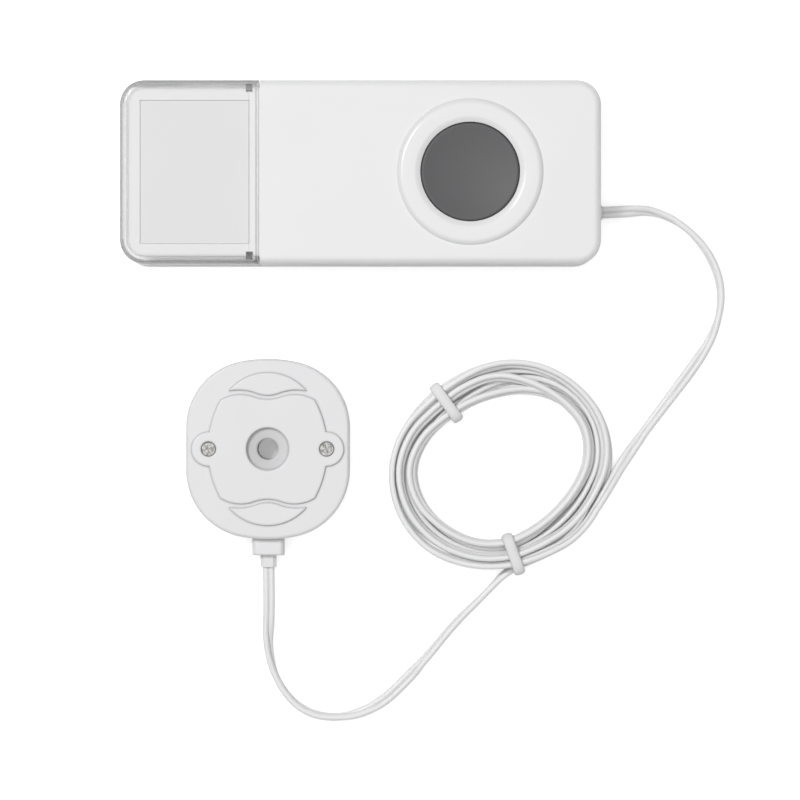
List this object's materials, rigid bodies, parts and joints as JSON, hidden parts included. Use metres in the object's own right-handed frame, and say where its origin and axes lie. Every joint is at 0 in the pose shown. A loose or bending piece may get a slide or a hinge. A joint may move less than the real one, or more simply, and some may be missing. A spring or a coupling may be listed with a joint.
{
  "type": "water leak sensor",
  "caption": "Wireless water leak sensor: flat transmitter with a clear card window and a push button, joined by a coiled flat twin lead to a small contact probe.",
  "frame": {"origin": "centre of the transmitter's back face", "axes": "+X along the transmitter towards the lead's exit, +Y across it away from the probe, +Z out of its front"},
  "size_m": [0.1267, 0.134, 0.0178],
  "materials": {
    "white_shell": "satin",
    "clear_window": "polished",
    "card": "matt paper",
    "grey_button": "fine matt",
    "board_green": "satin",
    "black_plastic": "matt",
    "cell_jacket": "gloss",
    "spring_steel": "satin",
    "shield_can": "satin",
    "chip_ceramic": "matt",
    "copper_wire": "satin",
    "white_connector": "satin",
    "lead_jacket": "soft satin",
    "soft_white": "matt",
    "probe_white": "fine satin",
    "contact_steel": "bright"
  },
  "bodies": {
    "base": {"rear_case": "white_shell", "circuit_board": "board_green", "tactile_switch": "black_plastic", "battery": "cell_jacket", "battery_contact_positive": "spring_steel", "battery_contact_negative": "spring_steel", "control_chip": "black_plastic", "radio_module": "shield_can", "timing_crystal": "shield_can", "storage_capacitor": "black_plastic", "chip_components": "chip_ceramic", "antenna_wire": "copper_wire", "board_screws": "spring_steel", "lead_connector": "white_connector", "lead_tails": "lead_jacket", "lead_grommet": "soft_white", "probe_shell": "probe_white", "probe_back": "probe_white", "contact_screws": "contact_steel", "contact_lugs": "spring_steel", "contact_nuts": "spring_steel", "probe_wires": "lead_jacket", "strain_relief": "soft_white", "lead_from_transmitter": "lead_jacket", "lead_coil": "lead_jacket", "lead_to_probe": "lead_jacket", "coil_tie_upper": "soft_white", "coil_tie_lower": "soft_white"},
    "cover": {"front_cover": "white_shell", "button_bezel": "white_shell", "name_card": "card"},
    "window": {"label_window": "clear_window"},
    "button": {"button_cap": "grey_button"},
    "plunger": {"switch_plunger": "black_plastic"}
  },
  "joints": [
    {"name": "cover_lift", "type": "slide", "parent": "base", "child": "cover", "axis": [0, 0, 1], "range_m": [0, 0.03]},
    {"name": "window_slide", "type": "slide", "parent": "cover", "child": "window", "axis": [-1, 0, 0], "range_m": [0, 0.032]},
    {"name": "button_press", "type": "slide", "parent": "cover", "child": "button", "axis": [0, 0, -1], "range_m": [0, 0.0008], "stiffness_N_per_m": 2000, "springref_m": -0.0005},
    {"name": "plunger_press", "type": "slide", "parent": "base", "child": "plunger", "axis": [0, 0, -1], "range_m": [0, 0.0003]}
  ],
  "couplings": [
    {"joint": "plunger_press", "follows": "button_press", "ratio": 0.375}
  ]
}
